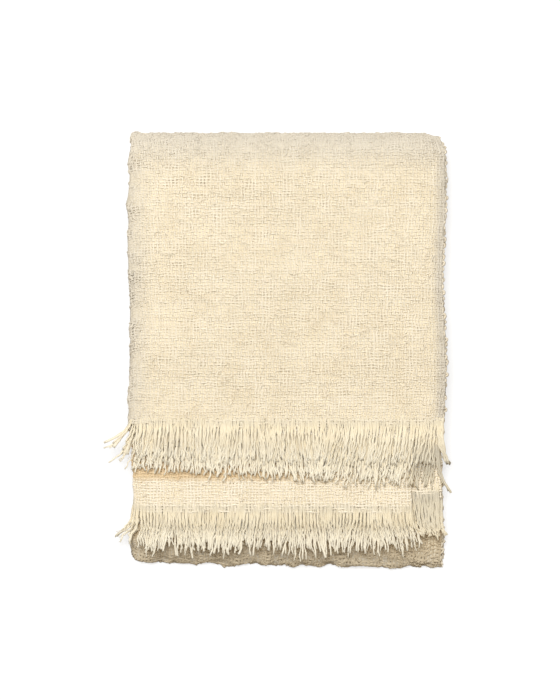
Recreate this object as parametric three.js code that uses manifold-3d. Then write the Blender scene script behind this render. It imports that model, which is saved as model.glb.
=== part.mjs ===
// A boucle throw as it lies folded: quartered across its width, then halved twice along its length.
// Millimetres. X runs across the folded throw, Y along it, Z up from the surface that it lies on.
// The origin is the middle of the underside.
import * as THREE from 'three';
import Module from 'manifold-3d';

// Cloth and stack
const SHEET = 2.6; // thickness of the woven cloth
const LAYER_PITCH = 3.1; // height from one layer to the next inside a packet
const PACKET_PITCH = 13; // four layers and a little air
const SKIN = 1.5 * LAYER_PITCH + SHEET / 2; // from a packet's middle to its outer face
const BASE = PACKET_PITCH / 2 - SKIN; // height that the lowest face has before the stack is set down

// Plan of the folded throw
const HALF_WIDTH = 170; // the width fold is on the left, both selvedges are on the right
const SHORT_FOLD_X = 136; // the fold that turns the two short layers back
const BACK_FOLD_Y = 236; // outer face of the fold at the far end
const NEAR_FOLD_Y = { left: -236, right: -242.5 }; // the same at the near end, before its side slopes

// Fringe
const STRIP = 5; // width of the strip that holds the strands' roots
const PARTING = 0.3; // between the cloth's edge and the strip
const ROOT_DEPTH = 3; // how far a strand reaches into the strip
const STRAND_RADIUS = { root: 1.2, middle: 1.15, tip: 0.75 };
const STRAND_BEND = { across: 0.4, along: 0.5, down: 0.3 }; // where a strand's middle lies, root to tip
const STRAY = { across: 1.2, along: 2.5, acrossPhase: 2.4, alongPhase: 1.7 }; // of tips, strand by strand
const ROW_INSET = 2; // from the end of a layer to its first strand
const TIP_PITCH = 2.8; // height from one row of tips to the next
const TIP_CLEARANCE = 1.5; // from the packet below to the lowest row of tips

// Where each layer ends, at the left and at the right, with its strands and its place in the pile of
// fringe. Layers a and b reach the selvedges, c and d the short fold.
const FRONT_ENDS = {
  a: { left: -73, right: -73, strands: 44, pile: 3, length: 42 },
  b: { left: -82, right: -97, strands: 44, pile: 2, length: 46 },
  c: { left: -86, right: -89, strands: 20, pile: 1, length: 46 },
  d: { left: -80, right: -84, strands: 20, pile: 0, length: 46 },
};
const UNDER_ENDS = {
  d: { left: -165, right: -166, strands: 42, pile: 3, length: 48 },
  c: { left: -161, right: -163, strands: 20, pile: 2, length: 47 },
  b: { left: -152, right: -150, strands: 38, pile: 1, length: 50 },
  a: { left: -157, right: -152, strands: 28, pile: 0, length: 48 },
};

// How far the outer strands of a row lean out past the cloth, how much of the row does, and how much
// of the lean a strand loses in length
const LEAN = { left: -28, right: 12, reach: 32, shortens: 0.4 };

// How far each packet's edges lie from the plan, by packet, from the lowest up
const PACKET_SHIFTS = [
  { left: -2.5, right: -1 },
  { left: -2, right: -2 },
  { left: 4, right: -1 },
  { left: 0, right: 0 },
];

// The left edge of the two lower packets is drawn in, except towards the near fold
const DRAWN_IN = { by: 6, start: 160, stop: 210 };

// Waves in the two long edges
const EDGE_WAVES = {
  left: { height: 1.3, length: 230, phase: 0.6 },
  right: { height: 1.7, length: 190, phase: 2.1 },
};

// Corners that are drawn in
const CORNERS = [
  { side: -1, end: 1, pull: 0.8, reach: 12 },
  { side: 1, end: 1, pull: 3, reach: 22 },
  { side: -1, end: -1, pull: 2.5, reach: 18 },
  { side: 1, end: -1, pull: 0.8, reach: 12 },
];

// The stack is thicker in the middle, and its right edge sags where the short layers are missing
const CROWN = 0.035;
const SAG = { start: 122, lower: 5, upper: 11, most: 1.2 };

// The near fold has nothing on it, so its upper layers draw back, its side slopes and it sinks
const FOLD_SLOPE = { start: 180, stop: 225, share: 0.62 };
const FOLD_DIP = { start: 196, stop: 238, share: 0.42 };

// The stack is rounded off towards the left folds
const SHOULDER = { start: 134, stop: 172, share: 0.18 };

// Steps along each stretch
const CLOTH_STEPS = { front: 6, long: 12, under: 8, backTurn: 7, innerTurn: 4, nearTurn: 5 };
const WIDTH_STEPS = { outerTurn: 5, innerTurn: 4, shortTurn: 4 };
const WIDTH_STATIONS = [-140, -95, -20, 60]; // between the width fold and the short fold
const SELVEDGE_STATIONS = [146, 158]; // between the short fold and the selvedges

const { lerp, clamp, smoothstep } = THREE.MathUtils;
const T = PACKET_PITCH;
const FOLD_CENTRE_X = -HALF_WIDTH + SKIN;
const SHORT_CENTRE_X = SHORT_FOLD_X - LAYER_PITCH / 2 - SHEET / 2;
const LAYER_HEIGHT = {
  a: 1.5 * LAYER_PITCH,
  b: 0.5 * LAYER_PITCH,
  c: -0.5 * LAYER_PITCH,
  d: -1.5 * LAYER_PITCH,
};
const sideways = (x) => clamp((x + HALF_WIDTH) / (2 * HALF_WIDTH), 0, 1);

// The cloth's middle line across the width, from one selvedge to the other: x, height n above the
// packet's middle, the unit normal to its right, and the layers that it lies between.
function widthPath() {
  const path = [];
  const run = (layer, stations, normal) => {
    const n = LAYER_HEIGHT[layer];
    for (const x of stations) path.push({ x, n, nx: 0, nn: normal, from: layer, to: layer, f: 0 });
  };
  // A turn of half a circle about (x, n), from one layer to the next, bulging towards bulge (-1 left,
  // 1 right). turning is 1 for a left turn, where the normal to the right points outwards.
  const turn = (x, n, from, to, bulge, turning, steps) => {
    const radius = Math.abs(LAYER_HEIGHT[from] - LAYER_HEIGHT[to]) / 2;
    const start = Math.sign(LAYER_HEIGHT[from] - n);
    for (let i = 1; i < steps; i++) {
      const angle = (Math.PI * i) / steps;
      const out = { x: bulge * Math.sin(angle), n: start * Math.cos(angle) };
      path.push({
        x: x + radius * out.x,
        n: n + radius * out.n,
        nx: turning * out.x,
        nn: turning * out.n,
        from,
        to,
        f: i / steps,
      });
    }
  };
  const short = [FOLD_CENTRE_X, ...WIDTH_STATIONS, SHORT_CENTRE_X];
  const long = [...short, ...SELVEDGE_STATIONS, HALF_WIDTH];
  run('a', [...long].reverse(), 1);
  turn(FOLD_CENTRE_X, 0, 'a', 'd', -1, 1, WIDTH_STEPS.outerTurn);
  run('d', short, -1);
  turn(SHORT_CENTRE_X, -LAYER_PITCH, 'd', 'c', 1, 1, WIDTH_STEPS.shortTurn);
  run('c', [...short].reverse(), 1);
  turn(FOLD_CENTRE_X, 0, 'c', 'b', -1, -1, WIDTH_STEPS.innerTurn);
  run('b', long, -1);
  return path;
}

// The closed outline of the quartered cloth: its right face from selvedge to selvedge, then its left
// face back again.
function sectionOutline() {
  const offset = (p, distance) => ({ ...p, x: p.x + distance * p.nx, n: p.n + distance * p.nn });
  const path = widthPath();
  const right = path.map((p) => offset(p, SHEET / 2));
  const left = path.map((p) => offset(p, -SHEET / 2)).reverse();
  return [...right, ...left];
}

function endOf(ends, p) {
  const at = (layer) => lerp(ends[layer].left, ends[layer].right, sideways(p.x));
  return lerp(at(p.from), at(p.to), p.f);
}
const backFold = () => BACK_FOLD_Y - 1.5 * T - SKIN;
const nearFold = (p) => lerp(NEAR_FOLD_Y.left, NEAR_FOLD_Y.right, sideways(p.x)) + T / 2 + SKIN;

// Half a circle about (y, z): fraction f of the way round, bulging towards bulge, up if rising is 1.
const halfTurn = (y, z, radius, f, bulge, rising) => [
  y + bulge * radius * Math.sin(Math.PI * f),
  z - rising * radius * Math.cos(Math.PI * f),
];

// The cloth's way along its length, one row for each run and turn: how many steps it takes, and the y
// and z of the outline point p at fraction f of it.
const LENGTH_PATH = [
  { steps: CLOTH_STEPS.front, at: (p, f) => [lerp(endOf(FRONT_ENDS, p), backFold(), f), 3.5 * T + p.n] },
  { steps: CLOTH_STEPS.backTurn, at: (p, f) => halfTurn(backFold(), 2 * T, 1.5 * T + p.n, f, 1, -1) },
  { steps: CLOTH_STEPS.long, at: (p, f) => [lerp(backFold(), nearFold(p), f), 0.5 * T - p.n] },
  { steps: CLOTH_STEPS.nearTurn, at: (p, f) => halfTurn(nearFold(p), T, 0.5 * T + p.n, f, -1, 1) },
  { steps: CLOTH_STEPS.long, at: (p, f) => [lerp(nearFold(p), backFold(), f), 1.5 * T + p.n] },
  { steps: CLOTH_STEPS.innerTurn, at: (p, f) => halfTurn(backFold(), 2 * T, 0.5 * T - p.n, f, 1, 1) },
  { steps: CLOTH_STEPS.under, at: (p, f) => [lerp(backFold(), endOf(UNDER_ENDS, p), f), 2.5 * T - p.n] },
];

// Sets a point of the even stack down as the soft stack lies: edges that wander, corners drawn in, a
// crown in the middle, a sagging right edge, a rounded left shoulder and a sloping near fold. The
// underside stays flat. The fold sinks under the loose strands, which take no part in that: slack is 0.
function settle(x, y, z, slack = 1) {
  const height = z - BASE;
  const across = clamp(x / HALF_WIDTH, -1, 1);
  const along = clamp(y / BACK_FOLD_Y, -1, 1);
  const level = clamp(z / T - 0.5, 0, PACKET_SHIFTS.length - 1);
  const under = PACKET_SHIFTS[Math.floor(level)];
  const over = PACKET_SHIFTS[Math.ceil(level)];
  const side = across < 0 ? 'left' : 'right';
  const wave = EDGE_WAVES[side];
  const inwards = side === 'left' ? DRAWN_IN.by * (1 - smoothstep(-y, DRAWN_IN.start, DRAWN_IN.stop)) : 0;
  const drift =
    lerp(under[side], over[side], level % 1) +
    inwards * clamp(2 - level, 0, 1) +
    wave.height * Math.sin((2 * Math.PI * y) / wave.length + wave.phase);
  let sx = x + drift * across * across;
  let sy = y;
  for (const corner of CORNERS) {
    const near =
      smoothstep(corner.side * x, HALF_WIDTH - corner.reach, HALF_WIDTH) *
      smoothstep(corner.end * y, BACK_FOLD_Y - corner.reach, BACK_FOLD_Y);
    sx -= corner.side * corner.pull * near;
    sy -= corner.end * corner.pull * near;
  }
  sy += FOLD_SLOPE.share * height * smoothstep(-y, FOLD_SLOPE.start, FOLD_SLOPE.stop);
  const crown = 1 + CROWN * (1 - across * across) * (1 - along * along);
  const overhang = clamp((x - SAG.start) / (HALF_WIDTH - SAG.start), 0, SAG.most) ** 2;
  const lowerRoom = clamp((z - 2 * LAYER_PITCH) / T, 0, 1);
  const upperRoom = clamp((z - 2 * T - 2 * LAYER_PITCH) / T, 0, 1);
  const sag = overhang * (SAG.lower * lowerRoom + (SAG.upper - SAG.lower) * upperRoom);
  const shoulder = 1 - SHOULDER.share * smoothstep(-x, SHOULDER.start, SHOULDER.stop);
  const dip = 1 - slack * FOLD_DIP.share * smoothstep(-y, FOLD_DIP.start, FOLD_DIP.stop);
  return [sx, sy, (height * crown - sag) * shoulder * dip];
}

// A closed solid from rings of points: the sides between the rings, and a ribbon of quads over each
// end, between the first half of the ring and the second half taken backwards.
function solidFromRings(rings) {
  const size = rings[0].length;
  const index = [];
  const quad = (a, b, c, d) => index.push(a, b, c, a, c, d);
  for (let i = 0; i + 1 < rings.length; i++) {
    for (let j = 0; j < size; j++) {
      const k = (j + 1) % size;
      quad(i * size + j, (i + 1) * size + j, (i + 1) * size + k, i * size + k);
    }
  }
  const last = (rings.length - 1) * size;
  for (let j = 0; j + 1 < size / 2; j++) {
    const mirror = size - 1 - j;
    quad(j, j + 1, mirror - 1, mirror);
    quad(last + j, last + mirror, last + mirror - 1, last + j + 1);
  }
  const geometry = new THREE.BufferGeometry();
  geometry.setAttribute('position', new THREE.Float32BufferAttribute(rings.flat(2), 3));
  geometry.setIndex(index);
  return geometry;
}

function clothGeometry() {
  const outline = sectionOutline();
  const rings = [];
  LENGTH_PATH.forEach(({ steps, at }, stretch) => {
    for (let i = stretch === 0 ? 0 : 1; i <= steps; i++) {
      rings.push(outline.map((p) => settle(p.x, ...at(p, i / steps))));
    }
  });
  return solidFromRings(rings);
}

// The strip along one end: a short length of the same section, just past the cloth's edge. The cloth's
// way begins at the front end and stops at the other.
function stripGeometry({ ends, heightOf, begins }) {
  const outline = sectionOutline();
  const ringAt = (distance) => outline.map((p) => settle(p.x, endOf(ends, p) - distance, heightOf(p.n)));
  const near = ringAt(PARTING);
  const far = ringAt(PARTING + STRIP);
  return solidFromRings(begins ? [far, near] : [near, far]);
}

// One strand: a tapered three-sided stick from inside the strip to its tip.
function strandGeometry(root, tip) {
  const bend = [STRAND_BEND.across, STRAND_BEND.along, STRAND_BEND.down];
  const middle = root.map((from, axis) => lerp(from, tip[axis], bend[axis]));
  const ring = ([x, y, z], radius) =>
    [0, 1, 2].map((corner) => {
      const angle = Math.PI / 2 + (corner * 2 * Math.PI) / 3;
      return settle(x + radius * Math.cos(angle), y, z + radius * Math.sin(angle), 0);
    });
  const rings = [
    ring(tip, STRAND_RADIUS.tip),
    ring(middle, STRAND_RADIUS.middle),
    ring(root, STRAND_RADIUS.root),
  ];
  const index = [];
  for (let i = 0; i < 2; i++) {
    for (let j = 0; j < 3; j++) {
      const k = (j + 1) % 3;
      index.push(3 * i + j, 3 * i + 3 + j, 3 * i + 3 + k, 3 * i + j, 3 * i + 3 + k, 3 * i + k);
    }
  }
  index.push(0, 1, 2, 6, 8, 7);
  const geometry = new THREE.BufferGeometry();
  geometry.setAttribute('position', new THREE.Float32BufferAttribute(rings.flat(2), 3));
  geometry.setIndex(index);
  return geometry;
}

// The strands of one layer's end, spread over its width. They fan out at the two sides of the throw.
function strandsOf({ ends, heightOf, floor, setback }, layer) {
  const { strands, pile, length } = ends[layer];
  const reaches = layer === 'a' || layer === 'b';
  const start = FOLD_CENTRE_X + ROW_INSET;
  const stop = (reaches ? HALF_WIDTH : SHORT_CENTRE_X) - ROW_INSET;
  const made = [];
  for (let i = 0; i < strands; i++) {
    const x = lerp(start, stop, i / (strands - 1));
    const lean =
      LEAN.left * (1 - smoothstep(x, start, start + LEAN.reach)) +
      LEAN.right * smoothstep(x, stop - LEAN.reach, stop);
    const edge = endOf(ends, { x, from: layer, to: layer, f: 0 }) - PARTING;
    const root = [x, edge - STRIP + ROOT_DEPTH, heightOf(LAYER_HEIGHT[layer])];
    const tip = [
      x + lean + STRAY.across * Math.sin(i * STRAY.acrossPhase + pile),
      edge - length - setback + STRAY.along * Math.sin(i * STRAY.alongPhase + pile) + LEAN.shortens * Math.abs(lean),
      floor + TIP_CLEARANCE + TIP_PITCH * pile,
    ];
    made.push(strandGeometry(root, tip));
  }
  return made;
}

const wasm = await Module();
wasm.setup();

function toSolid(geometry) {
  const vertProperties = new Float32Array(geometry.getAttribute('position').array);
  const triVerts = new Uint32Array(geometry.index.array);
  return new wasm.Manifold(new wasm.Mesh({ numProp: 3, vertProperties, triVerts }));
}

function toGeometry(solid) {
  const { vertProperties, triVerts } = solid.getMesh();
  const geometry = new THREE.BufferGeometry();
  geometry.setAttribute('position', new THREE.BufferAttribute(vertProperties, 3));
  geometry.setIndex(new THREE.BufferAttribute(triVerts, 1));
  return geometry;
}

// One end's fringe: the strip with every strand of its four layers joined to it.
function fringeGeometry(end) {
  let solid = toSolid(stripGeometry(end));
  for (const layer of Object.keys(end.ends)) {
    for (const strand of strandsOf(end, layer)) solid = solid.add(toSolid(strand));
  }
  return toGeometry(solid);
}

// The two ends: their layers' table, the height of a layer there, the height that the fringe lies on, and
// how far the near fold's slope draws its tips back
const FRONT = { ends: FRONT_ENDS, heightOf: (n) => 3.5 * T + n, floor: 3 * T, setback: 0, begins: true };
const UNDER = {
  ends: UNDER_ENDS,
  heightOf: (n) => 2.5 * T - n,
  floor: 2 * T,
  setback: FOLD_SLOPE.share * 2 * T,
  begins: false,
};

function piece(name, geometry, color) {
  geometry.computeVertexNormals();
  const material = new THREE.MeshStandardMaterial({ color, roughness: 0.95, metalness: 0 });
  const mesh = new THREE.Mesh(geometry, material);
  mesh.name = name;
  return mesh;
}

const throwGroup = new THREE.Group();
throwGroup.add(
  piece('throw_cloth', clothGeometry(), '#f2e4c6'),
  piece('fringe_front', fringeGeometry(FRONT), '#eddec0'),
  piece('fringe_under', fringeGeometry(UNDER), '#e6d7b8'),
);

export default throwGroup;
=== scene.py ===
# %% [markdown]
# A boucle throw, folded and laid flat
#
# The real thing is one woven cloth of looped yarn, about 130 by 170 cm, with its cut warp ends left as
# fringe. It is quartered across its width and halved twice along its length, so sixteen layers lie on each
# other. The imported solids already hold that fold. This script dresses them: a sheet that follows the same
# folds, real yarns over it where they show, loops at the selvedges, stray curls, and every strand of the
# fringe.

# %% Load the frame
from types import SimpleNamespace

import bpy
import numpy as np
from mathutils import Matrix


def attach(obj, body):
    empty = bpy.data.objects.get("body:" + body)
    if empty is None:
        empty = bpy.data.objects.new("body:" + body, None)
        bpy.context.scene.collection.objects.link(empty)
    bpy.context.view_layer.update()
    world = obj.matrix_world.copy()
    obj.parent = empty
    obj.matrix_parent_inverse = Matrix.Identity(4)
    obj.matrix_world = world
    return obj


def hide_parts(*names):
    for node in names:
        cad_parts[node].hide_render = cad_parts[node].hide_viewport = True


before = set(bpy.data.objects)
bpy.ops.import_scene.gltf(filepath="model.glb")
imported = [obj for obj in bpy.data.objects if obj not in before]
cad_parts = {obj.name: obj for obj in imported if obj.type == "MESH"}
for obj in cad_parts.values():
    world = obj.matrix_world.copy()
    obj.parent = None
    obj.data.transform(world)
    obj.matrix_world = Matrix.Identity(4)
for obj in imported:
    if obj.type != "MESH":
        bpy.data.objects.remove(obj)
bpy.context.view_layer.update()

# %% [markdown]
# Camera and studio
#
# The photograph looks straight down on the throw, with the closed fold at the top of the picture. A short
# lens from close by would show the sides too, so a long one looks from well above. The floor glows a
# little, which keeps it pale without strong lights. The light is one soft box overhead, a little to the
# far side and the left, so the near fold falls into shade. Three weak low lights at the left, right and
# back and a dim warm surround keep the other sides readable.

# %% Camera
MM = 0.001
PHOTO_LONG_SIDE_PX = 700
MM_PER_PX = 1.075
CAMERA_HEIGHT = 2.4
LOOK_AT_MM = (-7.0, 1.0, 45.0)
SENSOR_MM = 36.0

camera_data = bpy.data.cameras.new("camera")
camera_data.sensor_width = SENSOR_MM
view_side = PHOTO_LONG_SIDE_PX * MM_PER_PX * MM
camera_data.lens = SENSOR_MM * (CAMERA_HEIGHT - LOOK_AT_MM[2] * MM) / view_side
camera = bpy.data.objects.new("camera", camera_data)
camera.location = (LOOK_AT_MM[0] * MM, LOOK_AT_MM[1] * MM, CAMERA_HEIGHT)
bpy.context.scene.collection.objects.link(camera)
bpy.context.scene.camera = camera
bpy.context.scene.view_settings.view_transform = "Standard"
print("camera lens in mm:", round(camera_data.lens, 1))

# %% Floor
FLOOR_HALF = 4.0
FLOOR_GREY, FLOOR_ROUGH = (0.4, 0.4, 0.4, 1.0), 0.9
FLOOR_GLOW, FLOOR_GLOW_STRENGTH = (1.0, 1.0, 1.0, 1.0), 0.65

floor_mesh = bpy.data.meshes.new("floor")
floor_corners = [(x * FLOOR_HALF, y * FLOOR_HALF, 0) for x, y in [(-1, -1), (1, -1), (1, 1), (-1, 1)]]
floor_mesh.from_pydata(floor_corners, [], [(0, 1, 2, 3)])
floor = bpy.data.objects.new("floor", floor_mesh)
bpy.context.scene.collection.objects.link(floor)
# a floor as bright as this one would light the folds from below
floor.visible_diffuse = False
floor_material = bpy.data.materials.new("pale_floor")
floor_material.use_nodes = True
floor_inputs = floor_material.node_tree.nodes["Principled BSDF"].inputs
floor_inputs["Base Color"].default_value = FLOOR_GREY
floor_inputs["Roughness"].default_value = FLOOR_ROUGH
floor_inputs["Emission Color"].default_value = FLOOR_GLOW
floor_inputs["Emission Strength"].default_value = FLOOR_GLOW_STRENGTH
floor.data.materials.append(floor_material)
print("side of the floor in metres:", 2 * FLOOR_HALF)

# %% Lights
LIGHT_COLOUR = (0.97, 1.0, 1.03)
OVERHEAD_PLACE, OVERHEAD_SIZE, OVERHEAD_WATTS = (-0.25, 0.85, 2.83), 1.4, 90
FILL_PLACES = {"left_fill": (-2.2, 0.3), "right_fill": (2.2, 0.3), "back_fill": (0.0, 2.3)}
FILL_HEIGHT, FILL_SIZE, FILL_WATTS = 0.32, 1.0, 10
SURROUND_COLOUR, SURROUND_STRENGTH = (1.0, 0.8, 0.52, 1.0), 0.22


def soft_light(name, place, size, watts):
    """A square area light at place, turned towards the origin."""
    data = bpy.data.lights.new(name, "AREA")
    data.shape = "SQUARE"
    data.size = size
    data.energy = watts
    data.color = LIGHT_COLOUR
    light = bpy.data.objects.new(name, data)
    light.location = place
    light.rotation_euler = light.location.to_track_quat("Z", "Y").to_euler()
    bpy.context.scene.collection.objects.link(light)


soft_light("overhead", OVERHEAD_PLACE, OVERHEAD_SIZE, OVERHEAD_WATTS)
for name, (side_x, side_y) in FILL_PLACES.items():
    soft_light(name, (side_x, side_y, FILL_HEIGHT), FILL_SIZE, FILL_WATTS)
world = bpy.data.worlds.new("surround")
world.use_nodes = True
background = world.node_tree.nodes["Background"]
background.inputs["Color"].default_value = SURROUND_COLOUR
background.inputs["Strength"].default_value = SURROUND_STRENGTH
bpy.context.scene.world = world
print("lights:", 1 + len(FILL_PLACES))

# %% [markdown]
# The fold as a map
#
# Cloth doesn't stretch much, so the whole throw is one map from the flat cloth to the folded one: a point
# is u across the cloth from one selvedge, v along it from one cut end, and h above its middle. First u is
# carried along the quartered section, then that section is carried along the length. A cloth simulation
# could fold a sheet too, but sixteen layers are slow to settle, and yarns couldn't be laid on the result.
# With a map, every piece below is made in flat cloth measures, as a weaver would think of it, so yarns,
# loops and fringe all lie where the sheet does. Sizes are millimetres and repeat the solids' own.

# %% Sizes of the fold
SHEET = 2.6
LAYER = 3.1
PACKET = 13.0
SKIN = 1.5 * LAYER + SHEET / 2
BASE = PACKET / 2 - SKIN
HALF_WIDTH = 170.0
SHORT_FOLD_X = 136.0
BACK_FOLD_Y = 236.0
NEAR_FOLD_Y = (-236.0, -242.5)
FOLD_X = -HALF_WIDTH + SKIN
SHORT_X = SHORT_FOLD_X - LAYER / 2 - SHEET / 2
LAYER_HEIGHT = np.array([1.5, 0.5, -0.5, -1.5]) * LAYER
# where each layer stops, at the left and at the right
FRONT_ENDS = np.array([(-73.0, -73.0), (-82.0, -97.0), (-86.0, -89.0), (-80.0, -84.0)])
UNDER_ENDS = np.array([(-157.0, -152.0), (-152.0, -150.0), (-161.0, -163.0), (-165.0, -166.0)])

# the section's stretches: length, layer it leaves and layer it reaches
A, B, C, D = range(4)
LONG_RUN = HALF_WIDTH - FOLD_X
SHORT_RUN = SHORT_X - FOLD_X
WIDTH_STRETCHES = [
    (LONG_RUN, A, A),
    (np.pi * 1.5 * LAYER, A, D),
    (SHORT_RUN, D, D),
    (np.pi * 0.5 * LAYER, D, C),
    (SHORT_RUN, C, C),
    (np.pi * 0.5 * LAYER, C, B),
    (LONG_RUN, B, B),
]
WIDTH_STARTS = np.cumsum([0.0] + [row[0] for row in WIDTH_STRETCHES])
CLOTH_WIDTH = WIDTH_STARTS[-1]
print("cloth width in mm:", round(CLOTH_WIDTH))

# %% The section across the width


def across(u):
    """Where u lies in the quartered section: x, the height n over the packet's middle, the two parts of
    the normal, and the layers that it lies between with the share of the second.
    Runs are straight at their layer's height; turns are half circles about the fold's centre line."""
    stretch = np.clip(np.searchsorted(WIDTH_STARTS, u, side="right") - 1, 0, len(WIDTH_STRETCHES) - 1)
    lengths = np.array([row[0] for row in WIDTH_STRETCHES])
    leaves = np.array([row[1] for row in WIDTH_STRETCHES])[stretch]
    reaches = np.array([row[2] for row in WIDTH_STRETCHES])[stretch]
    d = u - WIDTH_STARTS[stretch]
    angle = np.pi * d / lengths[stretch]
    sin, cos = np.sin(angle), np.cos(angle)
    wide, tight = 1.5 * LAYER, 0.5 * LAYER
    height = LAYER_HEIGHT[leaves]
    at = [stretch == k for k in range(len(WIDTH_STRETCHES))]
    x = np.select(
        at,
        [HALF_WIDTH - d, FOLD_X - wide * sin, FOLD_X + d, SHORT_X + tight * sin]
        + [SHORT_X - d, FOLD_X - tight * sin, FOLD_X + d],
    )
    n = np.select(at, [height, wide * cos, height, -LAYER - tight * cos, height, -tight * cos, height])
    nx = np.select(at, [0 * d, -sin, 0 * d, sin, 0 * d, sin, 0 * d])
    nn = np.select(at, [0 * d + 1, cos, 0 * d - 1, -cos, 0 * d + 1, cos, 0 * d - 1])
    share = np.where(leaves == reaches, 0.0, angle / np.pi)
    return x, n, nx, nn, leaves, reaches, share


def from_left(x):
    """0 at the left fold, 1 at the right edge."""
    return np.clip((x + HALF_WIDTH) / (2 * HALF_WIDTH), 0, 1)


def end_of(ends, x, leaves, reaches, share):
    """The y at which the layer stops: a straight slant across each layer, blended round the turns."""
    first = ends[leaves, 0] + (ends[leaves, 1] - ends[leaves, 0]) * from_left(x)
    second = ends[reaches, 0] + (ends[reaches, 1] - ends[reaches, 0]) * from_left(x)
    return first + (second - first) * share


left_turn_middle = (WIDTH_STARTS[1] + WIDTH_STARTS[2]) / 2
print("outermost x of the left fold in mm:", round(float(across(np.array([left_turn_middle]))[0][0]), 1))


# %% The way along the length
BACK_Y = BACK_FOLD_Y - 1.5 * PACKET - SKIN


def near_y(x):
    """The y of the near fold's centre line, which slants from left to right."""
    slant = NEAR_FOLD_Y[0] + (NEAR_FOLD_Y[1] - NEAR_FOLD_Y[0]) * from_left(x)
    return slant + PACKET / 2 + SKIN


def length_starts(x, n, leaves, reaches, share):
    """Running lengths at which the seven stretches of the length start, and where the cloth ends: four
    runs between the folds, and three turns whose radius is the layer's own."""
    front = end_of(FRONT_ENDS, x, leaves, reaches, share)
    under = end_of(UNDER_ENDS, x, leaves, reaches, share)
    lengths = [BACK_Y - front, np.pi * (1.5 * PACKET + n), BACK_Y - near_y(x), np.pi * (0.5 * PACKET + n)]
    lengths += [BACK_Y - near_y(x), np.pi * (0.5 * PACKET - n), BACK_Y - under]
    return np.cumsum(np.stack([0 * lengths[0]] + lengths), axis=0)


def along(v, x, n, n_middle, layers):
    """y and z of a point v along the cloth, at height n over the packet's middle. Each run keeps its
    level, and each turn is half a circle of radius the packet's own plus or minus n."""
    starts = length_starts(x, n_middle, *layers)
    stretch = np.clip((v[None] >= starts).sum(0) - 1, 0, len(starts) - 2)
    start = np.take_along_axis(starts, stretch[None], 0)[0]
    stop = np.take_along_axis(starts, stretch[None] + 1, 0)[0]
    d = v - start
    angle = np.pi * d / (stop - start)
    sin, cos = np.sin(angle), np.cos(angle)
    outer, inner, near = 1.5 * PACKET + n, 0.5 * PACKET - n, 0.5 * PACKET + n
    front = BACK_Y - starts[1]
    at = [stretch == k for k in range(len(starts) - 1)]
    y = np.select(
        at,
        [front + d, BACK_Y + outer * sin, BACK_Y - d, near_y(x) - near * sin]
        + [near_y(x) + d, BACK_Y + inner * sin, BACK_Y - d],
    )
    z = np.select(
        at,
        [3.5 * PACKET + n, 2 * PACKET + outer * cos, 0.5 * PACKET - n, PACKET - near * cos]
        + [1.5 * PACKET + n, 2 * PACKET - inner * cos, 2.5 * PACKET - n],
    )
    return y, z


print("centre line of the back fold in mm:", round(BACK_Y, 2))


# %% [markdown]
# Setting the stack down
#
# An even stack would look machine made. The real one has long edges that wander by a few millimetres,
# corners that are drawn in or pushed out, a low crown, a rounded left shoulder, a right edge that sags,
# because the two short layers don't reach it, and a near fold whose side slopes, because nothing lies on
# it. Moving points by hand would give this to one mesh only. One function of the place gives it to every
# piece alike. The solids have most of it, and the rumpled folds and a faint ripple are added here.

# %% Random waves


def waves(seed, shortest, longest, count=14):
    """A smooth random field of two variables: sines of random direction and wavelength, added up and
    scaled so that its spread is about one."""
    dice = np.random.default_rng(seed)
    number = 2 * np.pi / dice.uniform(shortest, longest, count)
    turn, phase = dice.uniform(0, 2 * np.pi, (2, count))

    def field(a, b):
        total = 0.0
        for k, t, p in zip(number, turn, phase):
            total = total + np.sin(k * (np.cos(t) * a + np.sin(t) * b) + p)
        return total * np.sqrt(2 / count)

    return field


def ease(x, low, high):
    """0 below low, 1 above high, and the smooth cubic between."""
    t = np.clip((x - low) / (high - low), 0, 1)
    return t * t * (3 - 2 * t)


print("halfway up the smooth cubic:", ease(0.5, 0, 1))

# %% The settled stack
# each packet's own shift at the left and right edges, from the lowest packet up
PACKET_SHIFT_LEFT = (-2.5, -2.0, 4.0, 0.0)
PACKET_SHIFT_RIGHT = (-1.0, -2.0, -1.0, 0.0)
# size, length and phase of each long edge's wave
LEFT_WAVE, RIGHT_WAVE = (1.3, 230, 0.6), (1.7, 190, 2.1)
DRAWN_IN, DRAWN_START, DRAWN_STOP = 6.0, 160.0, 210.0
# each corner's two sides, how far it is drawn in (or, if negative, pushed out), and over what reach
CORNERS = [(-1, 1, -3.0, 14.0), (1, 1, 3.0, 22.0), (-1, -1, 2.5, 18.0), (1, -1, 0.8, 12.0)]
CROWN = 0.035
SAG_START, SAG_LOWER, SAG_UPPER, SAG_MOST = 122.0, 5.0, 11.0, 1.2
SLOPE_START, SLOPE_STOP, SLOPE_SHARE = 180.0, 225.0, 0.62
DIP_START, DIP_STOP, DIP_SHARE = 196.0, 238.0, 0.42
SHOULDER_START, SHOULDER_STOP, SHOULDER_SHARE = 134.0, 172.0, 0.18
# how far each fold is rumpled, and the distances from the middle over which that comes in
NEAR_RUMPLE, BACK_RUMPLE, LEFT_RUMPLE = (1.3, 200, 230), (0.35, 210, 234), (0.8, 148, 168)
RIPPLE = 0.009
ripple, rumple = waves(3, 90, 200), waves(4, 12, 46, 24)


def edge_wave(y, size, length, phase):
    """A sine of that size, length and phase along y."""
    return size * np.sin(2 * np.pi * y / length + phase)


def rumpled(field, distance, most, start, stop):
    """The field times the most, which comes in smoothly from start to stop."""
    return most * ease(distance, start, stop) * field


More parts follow.
